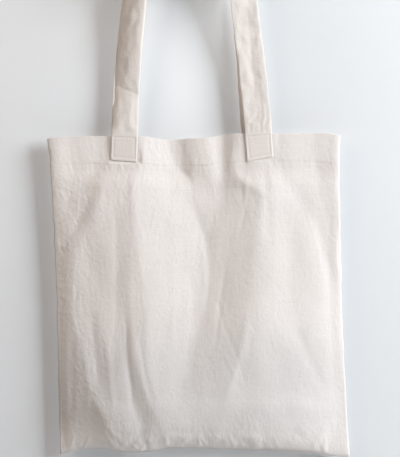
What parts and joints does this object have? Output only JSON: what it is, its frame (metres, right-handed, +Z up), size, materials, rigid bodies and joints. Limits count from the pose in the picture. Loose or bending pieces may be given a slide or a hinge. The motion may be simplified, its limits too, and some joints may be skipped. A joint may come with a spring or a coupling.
{
  "type": "tote bag",
  "caption": "Flat natural-canvas tote bag with a deep turned-in hem at its mouth, seamed sides and bottom, and two long shoulder straps box-stitched to the outside, hanging by the straps.",
  "frame": {"origin": "where the bag hangs: the underside of the two strap crowns, midway between them", "axes": "+Z up, +X to the right of somebody facing the bag, -Y out of the front of the bag towards them, +Y out of its back"},
  "size_m": [0.38, 0.072, 0.6882],
  "materials": {
    "canvas": "matt washed natural cotton canvas, plain weave, softly creased",
    "strap_canvas": "matt natural cotton canvas, folded lengthwise into a flat strap",
    "thread": "undyed spun cotton sewing thread"
  },
  "bodies": {
    "bag_seams": {"left_side_seam": "canvas", "right_side_seam": "canvas", "bottom_seam": "canvas", "left_seam_overlock": "thread", "right_seam_overlock": "thread", "bottom_seam_overlock": "thread"},
    "front_panel": {"front_panel": "canvas", "front_hem_stitch": "thread", "front_strap_left_end": "strap_canvas", "front_strap_right_end": "strap_canvas", "front_left_box_stitch": "thread", "front_right_box_stitch": "thread"},
    "back_panel": {"back_panel": "canvas", "back_hem_stitch": "thread", "back_strap_left_end": "strap_canvas", "back_strap_right_end": "strap_canvas", "back_left_box_stitch": "thread", "back_right_box_stitch": "thread"},
    "front_strap": {"front_strap": "strap_canvas"},
    "back_strap": {"back_strap": "strap_canvas"}
  },
  "joints": [
    {"name": "mouth_front", "type": "hinge", "parent": "bag_seams", "child": "front_panel", "pos_m": [0, -0.0021, -0.68664], "axis": [1, 0, 0], "range_deg": [0, 8], "stiffness_Nm_per_rad": 0.5},
    {"name": "mouth_back", "type": "hinge", "parent": "bag_seams", "child": "back_panel", "pos_m": [0, 0.0021, -0.68664], "axis": [-1, 0, 0], "range_deg": [0, 8], "stiffness_Nm_per_rad": 0.5},
    {"name": "front_strap_fold", "type": "hinge", "parent": "front_panel", "child": "front_strap", "pos_m": [0, -0.0116, -0.26664], "axis": [1, 0, 0], "range_deg": [0, 170]},
    {"name": "back_strap_fold", "type": "hinge", "parent": "back_panel", "child": "back_strap", "pos_m": [0, 0.0116, -0.26664], "axis": [-1, 0, 0], "range_deg": [0, 170]}
  ]
}
